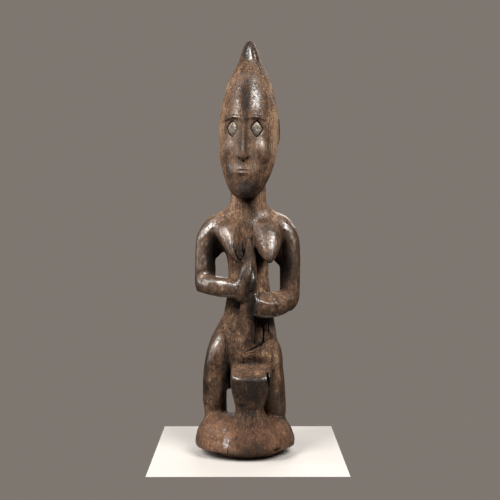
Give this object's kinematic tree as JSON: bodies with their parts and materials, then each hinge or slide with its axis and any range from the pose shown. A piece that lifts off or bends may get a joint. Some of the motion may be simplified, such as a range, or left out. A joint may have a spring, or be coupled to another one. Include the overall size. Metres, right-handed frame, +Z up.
{
  "type": "tribal figure",
  "caption": "Dark carved wooden figure of a standing woman with a high crest, an upright staff and a cup between bent legs on a rounded foot, with inlaid eye plates.",
  "frame": {"origin": "on the floor, in the middle of the foot's underside as the figure stands", "axes": "+Z up to the tip of the crest, the figure faces -Y, +X is the figure's left side, the viewer's right"},
  "size_m": [0.1121, 0.104, 0.44],
  "materials": {
    "wood": "dark worn hardwood, glossy on proud parts, matt in hollows",
    "plate_metal": "dull grey metal plate"
  },
  "bodies": {
    "root": {"carved_figure": "wood", "right_eye_plate": "plate_metal", "left_eye_plate": "plate_metal"}
  },
  "joints": []
}
